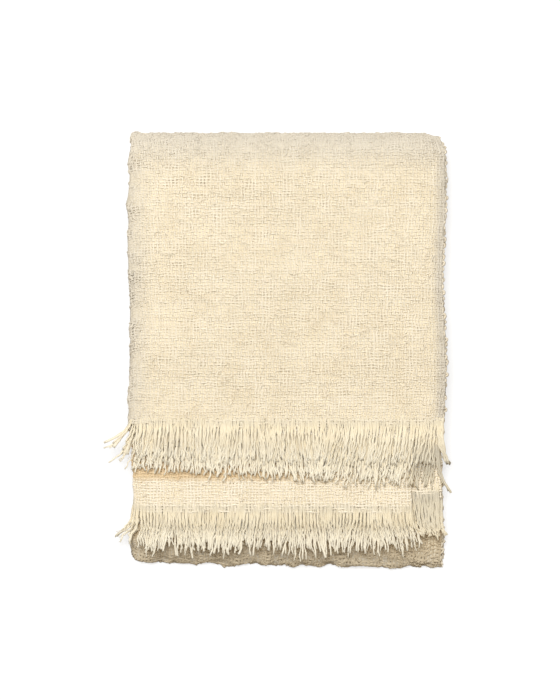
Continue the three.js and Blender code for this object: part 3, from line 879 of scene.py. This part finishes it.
def clump_pull(x, row, seed):
    """How far a strand's tip is drawn to its clump's middle: clumps are cells of uneven width, and each
    draws its strands in by a share of its own."""
    warped = x + CLUMP_UNEVEN * sway(x * CLUMP_CLOSER, row) + CLUMP_ROW * row
    cell = np.floor(warped / CLUMP_WIDTH)
    chance = np.random.default_rng(seed).random(CLUMPS)[cell.astype(int) % CLUMPS]
    return ((cell + 0.5) * CLUMP_WIDTH - warped) * (CLUMP_LEAST + CLUMP_MORE * chance)


def strand_aside(end, x, row, cord, stray, dice, seed):
    """How far each strand's tip goes aside: its lean out past the left edge, its late lean past the right
    edge, and its whole way aside without that: sway, clump, chance, lean and the way that it is combed."""
    count = len(x)
    edge_left = np.clip((LEAN_LEFT_REACH - HALF_WIDTH - x) / LEAN_LEFT_REACH, 0, 1) ** LEFT_LEAN_POWER
    edge_right = np.clip((x - HALF_WIDTH + LEAN_RIGHT_REACH) / LEAN_RIGHT_REACH, 0, 1)
    lean = end.swing[0] * edge_left * dice.uniform(*LEFT_LEAN_SPREAD, count)
    late_lean = end.swing[1] * np.maximum(edge_right * dice.uniform(*RIGHT_LEAN_SPREAD, count), cord)
    aside = SWAY * sway(x, row) + clump_pull(x, row, seed) + stray * dice.normal(0, STRAY_ASIDE, count) + lean
    by_step = ease_from(x, SHORT_FOLD_X, BY_STEP) * (end.low_floor == end.floor)
    aside = aside + (COMBED * combed(x, seed * COMBS_APART) - COMBED_LEFT) * (1 - by_step)
    aside = aside + STEP_LEAN * by_step * np.clip((HALF_WIDTH - x) / (HALF_WIDTH - SHORT_FOLD_X), 0, 1)
    return lean, late_lean, aside


print("clumps across each fringe:", int(2 * HALF_WIDTH / CLUMP_WIDTH))

# %% How strands fall
ROOT_DEPTH, ROOT_RISEN, ROOT_RISE = 6.0, 2, (0.4, 0.85)
STRAND_LIFT, ROW_STEP = 1.0, 1.0
# on the low right step, where it starts, how many rows lie lower there, and how far the top row stays up
LOW_STEP, LOWER_ROWS, TOP_PILE, RIGHT_LIFT = (-3, 5), 2, 3, 4.0
CLEAR_MOST, CLEAR_SHARE, FALL_SHARE = 30, 0.5, 0.9


def strand_heights(end, x, n, px, t, length, pile, own_end, loose):
    """z along each strand: at its root the layer's own height, straight on while layers under it still lie
    beneath, and then down to its row, one step up for each row under it and loose above that."""
    low_side = ease_from(px, SHORT_FOLD_X, LOW_STEP) * (end.low_floor < end.floor)
    rest = end.floor + (end.low_floor - end.floor) * low_side + STRAND_LIFT + loose
    rest = rest + ROW_STEP * (pile[:, None] - low_side * np.minimum(LOWER_ROWS, pile)[:, None])
    rest = rest + RIGHT_LIFT * low_side * (pile == TOP_PILE)[:, None]
    risen = ease(t, -ROOT_DEPTH, ROOT_RISEN)
    root = end.level(n)[:, None] + ROOT_RISE[0] + (ROOT_RISE[1] - ROOT_RISE[0]) * risen
    all_ends = end.ends[:, 0] + (end.ends[:, 1] - end.ends[:, 0]) * from_left(x)[:, None]
    beneath = np.array(end.piles)[None] < pile[:, None]
    clear = np.clip(((own_end[:, None] - all_ends) * beneath).max(1), 0, CLEAR_MOST)[:, None]
    fall = ease(t, clear, CLEAR_SHARE * clear + FALL_SHARE * length)
    return rest + (root - rest) * (1 - fall)


print("rows of strands lie above each other in mm:", ROW_STEP)

# %% Rings round a strand
STRAND_SIDES, FLATTENED = 5, (1.0, 1.0, 0.42)


def rings_round(path, thick):
    """Flattened rings about each path: thickness times the cosine of the angle beside the path plus its
    sine above it."""
    ahead = np.gradient(path, axis=1)
    ahead = ahead / np.linalg.norm(ahead, axis=-1, keepdims=True)
    beside = np.cross(ahead, [0.0, 0.0, 1.0])
    beside = beside / np.linalg.norm(beside, axis=-1, keepdims=True)
    above = np.cross(beside, ahead)
    angle = 2 * np.pi * np.arange(STRAND_SIDES) / STRAND_SIDES
    turned = np.cos(angle)[:, None] * beside[:, :, None] + np.sin(angle)[:, None] * above[:, :, None]
    return path[:, :, None] + thick[..., None, None] * turned * FLATTENED


print("points round a strand:", STRAND_SIDES)

# %% Strands of the fringe
STRAND_STEPS = 13
ROWS_APART, UNEVEN, LEAN_SHORTENS, DEPTH_SPREAD = 400.0, 0.05, 0.6, (0.2, 1.9)
KINK_LENGTH, SECOND_KINK, SECOND_SHARE = (8, 16), 1.8, 0.5
KINK, KINK_UP, HOOK, LOOSE = 0.7, 0.45, 1.5, 0.6
ASIDE_POWER, LATE_POWER, HOOK_POWER, DRAWN_BACK = 1.6, 2.4, 4, 0.1
STRAND_SLUB, STRANDS_APART, STRAND_SPREAD = 0.2, 7.3, (0.8, 1.2)
ROOT_THICK, ROOT_THICKENS, ROOT_THICKENED = 0.85, 0.15, 14
# where along t the painted shade of a row and the painted shade of the root come in, and where the root's
# goes
SHADE_SIDE, SHADE_IN, SHADE_TIP, ROOT_SHADE_IN, ROOT_SHADE_OUT = (-2, 3), (-2, 12), 0.4, (-2, 2), (2, 14)


def strand_rings(end, u, radius, stray, seed):
    """Strands from the warps at u. Along each, t runs from inside the cloth to the tip: x goes aside with
    powers of t, y goes straight out, z falls, and sines of random phase kink it. Its tip value goes from 0
    to 1, less the painted shade of the root and, on the low right side, the painted shade of its row."""
    dice = np.random.default_rng(seed)
    count = len(u)
    x, n, nx, nn, leaves, reaches, share = across(u)
    layer = np.where(share < 0.5, leaves, reaches)
    row, pile = layer * ROWS_APART + seed, np.array(end.piles)[layer]
    cord = (u < EDGE_CORD) | (u > CLOTH_WIDTH - EDGE_CORD)
    left_length, right_length = np.array(end.lengths, dtype=float)[layer].T
    length = left_length + (right_length - left_length) * from_left(x)
    length = length * (1 + UNEVEN * ragged(x, row) + dice.normal(0, UNEVEN, count))
    lean, late_lean, aside = strand_aside(end, x, row, cord, stray, dice, seed)
    length = (length - LEAN_SHORTENS * np.abs(lean) + CORD_LONGER * cord)[:, None]
    hook = stray * dice.normal(0, HOOK, count)
    depth = ROOT_DEPTH * dice.uniform(*DEPTH_SPREAD, count)[:, None]
    t = np.linspace(0, 1, STRAND_STEPS)[None] * (length + depth) - depth
    out = np.clip(t / length, 0, 1)

    wave = dice.uniform(*KINK_LENGTH, count)[:, None]
    phase, phase_up = dice.uniform(0, 2 * np.pi, (2, count))[..., None]
    wiggle = np.sin(2 * np.pi * t / wave + phase) * out**0.5
    second = np.sin(2 * SECOND_KINK * np.pi * t / wave + 2 * phase_up)
    wiggle = wiggle + SECOND_SHARE * second * out**0.5
    wiggle_up = np.sin(2 * np.pi * t / wave + phase_up) * out**0.5
    px = x[:, None] + aside[:, None] * out**ASIDE_POWER + late_lean[:, None] * out**LATE_POWER
    px = px + hook[:, None] * out**HOOK_POWER + KINK * stray * wiggle
    own_end = end_of(end.ends, x, leaves, reaches, share)
    py = own_end[:, None] - t + DRAWN_BACK * np.abs(aside)[:, None] * out**2
    loose = np.abs(dice.normal(0, LOOSE, count))[:, None] * stray
    pz = strand_heights(end, x, n, px, t, length, pile, own_end, loose) + KINK_UP * stray * wiggle_up

    slubs = 1 + STRAND_SLUB * slub(u[:, None] * STRANDS_APART + seed, t)
    thick = (radius[0] + (radius[1] - radius[0]) * out) * slubs
    thick = thick * (ROOT_THICK + ROOT_THICKENS * ease(t, 0, ROOT_THICKENED))
    thick = thick * (dice.uniform(*STRAND_SPREAD, count) + CORD_THICKER * cord)[:, None]
    rings = rings_round(np.stack([px, py, pz], axis=-1), thick)
    # painted shade: strands on the low right step and at their roots are greyer
    shaded = (ease_from(x, SHORT_FOLD_X, SHADE_SIDE) * np.array(end.shades)[layer])[:, None]
    at_root = ease(t, *ROOT_SHADE_IN) * (1 - ease(t, *ROOT_SHADE_OUT))
    tip = out - shaded * ease(t, *SHADE_IN) * (1 + SHADE_TIP * out) - end.root_tone * at_root
    return settle(rings[..., 0], rings[..., 1], rings[..., 2], 0.0), dice.normal(0, 1, count), tip


# %% The two fringes
BAND_TOP, BAND_LOW, LEDGE_TOP = 3 * PACKET + 2.0, 2.5 * PACKET + 1.5, 2 * PACKET + 1.5
SETBACK = SLOPE_SHARE * 2 * PACKET
FULL_PLACE, FULL_RADIUS, FULL_STRAY = -0.2, (1.15, 1.02), 1.0
PLY_PLACE, PLY_RADIUS, PLY_STRAY, PLY_SEED = 0.3, (0.95, 0.82), 1.3, 10

# for each layer from a to d: where it ends, its strands' length at the left and right, its place in the
# pile of rows and its painted shade on the low right side; for all, the height of their layer and of what
# they lie on, the swing at the left and right edges, and the root's painted shade
front_end = SimpleNamespace(
    ends=FRONT_ENDS, lengths=[(41, 49), (44, 50), (36, 50), (38, 56)], piles=(3, 2, 1, 0),
    shades=(0.0, 1.2, 0.0, 0.0), level=lambda n: 3.5 * PACKET + n, floor=BAND_TOP, low_floor=BAND_LOW,
    swing=(-23.0, 16.0), root_tone=0.5, seed=51,
)
under_end = SimpleNamespace(
    ends=UNDER_ENDS, lengths=np.array([(52, 48), (54, 50), (52, 50), (53, 53)]) + SETBACK,
    piles=(0, 1, 2, 3), shades=(0.85, 0.85, 0.0, 0.0), level=lambda n: 2.5 * PACKET - n,
    floor=LEDGE_TOP, low_floor=LEDGE_TOP, swing=(-26.0, 2.0), root_tone=0.8, seed=52,
)


def fringe(name, end):
    """One end's fringe: two strands from every warp, the second a little finer and looser."""
    warp_u = (np.arange(int(CLOTH_WIDTH / WARP_PITCH)) + 0.5) * WARP_PITCH
    full = strand_rings(end, warp_u + FULL_PLACE * WARP_PITCH, FULL_RADIUS, FULL_STRAY, end.seed)
    ply = strand_rings(end, warp_u + PLY_PLACE * WARP_PITCH, PLY_RADIUS, PLY_STRAY, end.seed + PLY_SEED)
    return tubes(name, [full, ply])


front_fringe = fringe("front_fringe", front_end)
under_fringe = fringe("under_fringe", under_end)

# %% [markdown]
# Finishes
#
# The yarn is undyed wool and cotton: matte, warm ivory, with no shine beyond the soft bloom of loose fibres.
# Its colour is a little paler where its fibre bump rises and a little deeper where it sinks, which paints
# shade into the hollows. Painted images could show that, but noise on the piece's own measures stays sharp
# at any distance. Folds and selvedges are painted greyer, for the shade and sheen of edges that turn away,
# the near fold is painted deeper all over, for its shade, and what goes in under a fringe is painted
# browner, for the shadow there. The greyer and browner tones follow the tip value that each point of a yarn
# has. Shader sums are written as plain arithmetic through one small class that stands for a socket.

# %% Shader arithmetic


class Wire:
    """An output socket. Arithmetic on wires adds Math nodes, and node() adds any other node."""

    def __init__(self, tree, socket=None):
        self.tree, self.socket = tree, socket

    def node(self, kind, settings=None, inputs=None, output=0):
        """Adds a node of that kind, its settings first, then the value or link of each input."""
        made = self.tree.nodes.new(kind)
        for name, value in (settings or {}).items():
            setattr(made, name, value)
        for name, value in (inputs or {}).items():
            if isinstance(value, Wire):
                self.tree.links.new(value.socket, made.inputs[name])
            else:
                made.inputs[name].default_value = value
        return Wire(self.tree, made.outputs[output] if made.outputs else None)

    def math(self, operation, *values):
        """Adds a Math node with that operation on the values, in order."""
        return self.node("ShaderNodeMath", {"operation": operation}, dict(enumerate(values)))

    def __add__(self, other):
        return self.math("ADD", self, other)

    def __mul__(self, other):
        return self.math("MULTIPLY", self, other)

    def __sub__(self, other):
        return self.math("SUBTRACT", self, other)

    def __rsub__(self, other):
        return self.math("SUBTRACT", other, self)

    __radd__, __rmul__ = __add__, __mul__


def mix(factor, first, second):
    """A colour between first and second."""
    return factor.node("ShaderNodeMix", {"data_type": "RGBA"}, {0: factor, 6: first, 7: second}, 2)


def noise(start, where, size, detail=2.0):
    """Noise with features of about size metres, from 0 to 1."""
    inputs = {"Vector": where, "Scale": 1 / size, "Detail": detail}
    return start.node("ShaderNodeTexNoise", None, inputs, "Fac")


def read(start, name):
    """The number of that name that each point of a piece carries."""
    return start.node("ShaderNodeAttribute", {"attribute_name": name}, output="Fac")


# %% Yarn and cloth
MOST_TONED, FINE_DETAIL = 0.7, 3.0
MATTE, SHINE = 0.95, 0.2
YARN_PATCH, YARN_FIBRE, CLOTH_PATCH, CLOTH_FIBRE = 0.022, 0.0016, 0.02, 0.0018
# fibre noise is both the bump and part of the colour: random tone, and painted shade in the bump's hollows
PATCH_TONE, FIBRE_TONE, OWN_TONE, MEAN_TONE = 0.6, 0.9, 0.05, 0.6
WAVER, CROSSING_POWER, CROSSING_HEIGHT, FIBRE_HEIGHT = 3, 0.6, 0.7, 0.45
# the sheet's colour deepens where its bump is low: painted shade in the weave's hollows
HEIGHT_TONE, CLOTH_PATCH_TONE = 0.9, 0.5
YARN_BUMP = {"Strength": 0.4, "Distance": 0.0005}
CLOTH_BUMP = {"Strength": 0.9, "Distance": 0.0009}
YARN_SHEEN = {"Sheen Weight": 0.12, "Sheen Roughness": 0.35, "Sheen Tint": (1.0, 0.96, 0.92, 1.0)}
STRAND_SHEEN = YARN_SHEEN | {"Sheen Weight": 0.4}
CLOTH_SHEEN = {"Sheen Weight": 0.15, "Sheen Roughness": 0.5}


def blank(name):
    """A new material with no nodes, a wire to start from, and the place on the piece."""
    material = bpy.data.materials.new(name)
    material.use_nodes = True
    material.node_tree.nodes.clear()
    start = Wire(material.node_tree)
    return material, start, start.node("ShaderNodeTexCoord", output="Object")


def matte(start, blend, height, colours, bump, sheen):
    """A matte surface: from the deep colour to the pale one by blend, then towards the tip colour where
    the tip value is above 0, by its square, and towards the hollow colour where it is below, with a bump
    of that height. Above 0 the tip value marks a strand's paler tip and, on the other yarns and the sheet,
    painted grey shade on turned edges; below 0 it marks painted shade and shadow."""
    deep, pale, worn_colour, hollow_colour = colours
    tip = read(start, "tip")
    # the part above 0 is the strands' paler tips and, elsewhere, painted grey shade on turned edges; the part
    # below 0 is painted shade and shadow
    worn, hollow = start.math("MAXIMUM", tip, 0.0), start.math("MAXIMUM", 0.0 - tip, 0.0)
    colour = mix(start.node("ShaderNodeClamp", None, {"Value": blend}), deep, pale)
    colour = mix(worn * worn * MOST_TONED, colour, worn_colour)
    colour = mix(hollow * MOST_TONED, colour, hollow_colour)
    normal = start.node("ShaderNodeBump", None, bump | {"Height": height}, "Normal")
    surface = {"Base Color": colour, "Roughness": MATTE, "Normal": normal, "Specular IOR Level": SHINE}
    shader = start.node("ShaderNodeBsdfPrincipled", None, surface | sheen)
    start.node("ShaderNodeOutputMaterial", None, {"Surface": shader})


def yarn_finish(name, *colours, sheen=YARN_SHEEN):
    """Matte yarn: colour by patches, fibres and each yarn's own tone, and a bump of fine fibres. The fibres
    that raise the bump also pale the colour, so it is deeper in the bump's hollows: painted shade.
    """
    material, start, where = blank(name)
    patch, fibre = noise(start, where, YARN_PATCH), noise(start, where, YARN_FIBRE, FINE_DETAIL)
    blend = (patch - 0.5) * PATCH_TONE + (fibre - 0.5) * FIBRE_TONE
    blend = blend + read(start, "tone") * OWN_TONE + MEAN_TONE
    matte(start, blend, fibre, colours, YARN_BUMP, sheen)
    return material


def cloth_finish(name, *colours):
    """The sheet between the yarns: the weave's crossings as the product of two sines of the flat measures,
    broken up by noise, in bump and colour. The colour is deeper where the bump is low: painted shade in
    the weave's hollows."""
    material, start, where = blank(name)
    patch, fibre = noise(start, where, CLOTH_PATCH), noise(start, where, CLOTH_FIBRE, FINE_DETAIL)
    warp = start.math("SINE", read(start, "flat_u") * (np.pi / WARP_PITCH) + patch * WAVER)
    weft = start.math("SINE", read(start, "flat_v") * (np.pi / WEFT_PITCH) + patch * WAVER)
    crossing = start.math("POWER", start.math("ABSOLUTE", warp * weft), CROSSING_POWER)
    height = crossing * CROSSING_HEIGHT + fibre * FIBRE_HEIGHT
    blend = height * HEIGHT_TONE + (patch - 0.5) * CLOTH_PATCH_TONE
    matte(start, blend, height, colours, CLOTH_BUMP, CLOTH_SHEEN)
    return material


# %% Colours of the yarns
IVORY_DEEP, IVORY_PALE = (0.745, 0.631, 0.445, 1.0), (0.895, 0.816, 0.672, 1.0)
# the band's yarn is a paler copy of the ivory: painted light against the shade of the packet above
BAND_DEEP, BAND_PALE = (0.84, 0.72, 0.53, 1.0), (0.97, 0.89, 0.75, 1.0)
STRAND_DEEP, STRAND_PALE = (0.85, 0.71, 0.46, 1.0), (0.95, 0.865, 0.68, 1.0)
# the near fold's yarn is a deeper copy of the ivory: painted shade over the whole near fold
SHADED_DEEP, SHADED_PALE = (0.505, 0.396, 0.246, 1.0), (0.705, 0.578, 0.4, 1.0)
GROUND_DEEP, GROUND_PALE = (0.76, 0.63, 0.42, 1.0), (0.91, 0.80, 0.59, 1.0)
# painted grey shade and sheen for turned edges, on the ivory and on the near fold, and the strands' own paler
# tips
PAINTED_EDGE_GREY, SHADED_GREY, TIP_PALE = (0.62, 0.57, 0.49, 1.0), (0.66, 0.57, 0.42, 1.0), (0.95, 0.90, 0.77, 1.0)
# painted shadow brown under the front fringe, and painted shade grey for the low right step's strands and the
# roots
PAINTED_SHADOW_BROWN, PAINTED_SHADE_GREY = (0.74, 0.53, 0.28, 1.0), (0.58, 0.53, 0.43, 1.0)
yarn_material = yarn_finish("boucle_yarn", IVORY_DEEP, IVORY_PALE, PAINTED_EDGE_GREY, PAINTED_SHADOW_BROWN)
band_painted_light_material = yarn_finish("band_yarn_painted_light", BAND_DEEP, BAND_PALE, BAND_PALE, PAINTED_SHADOW_BROWN)
painted_shade_fold_material = yarn_finish("shaded_yarn", SHADED_DEEP, SHADED_PALE, SHADED_GREY, PAINTED_SHADOW_BROWN)
strand_colours = (STRAND_DEEP, STRAND_PALE, TIP_PALE, PAINTED_SHADE_GREY)
fringe_material = yarn_finish("fringe_yarn", *strand_colours, sheen=STRAND_SHEEN)
cloth_material = cloth_finish("boucle_ground", GROUND_DEEP, GROUND_PALE, PAINTED_EDGE_GREY, PAINTED_SHADOW_BROWN)
print("nodes in the yarn's finish:", len(yarn_material.node_tree.nodes))
print("nodes in the cloth's finish:", len(cloth_material.node_tree.nodes))

# %% Give each piece its finish
weave_pieces = [panel_warp, panel_weft, near_weave, band_weave, side_weave]
weave_pieces += [selvedge_loops, boucle_curls, near_curls]
fringe_pieces = [front_fringe, under_fringe]
# the near fold's weave and curls take the yarn with painted shade
own_material = {near_weave: painted_shade_fold_material, near_curls: painted_shade_fold_material, band_weave: band_painted_light_material}
cloth.data.materials.append(cloth_material)
for piece in weave_pieces:
    piece.data.materials.append(own_material.get(piece, yarn_material))
for piece in fringe_pieces:
    piece.data.materials.append(fringe_material)
print("finishes:", sorted({piece.data.materials[0].name for piece in [cloth, *weave_pieces, *fringe_pieces]}))

# %% [markdown]
# Into the frame
#
# The throw has no moving parts, so every piece rides on the one body. The sheet stands for the cloth's
# solid, and the two fringes for theirs.

# %% Ride and replace
for piece in [cloth, *weave_pieces, *fringe_pieces]:
    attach(piece, "root")
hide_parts("throw_cloth")
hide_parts("fringe_front")
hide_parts("fringe_under")
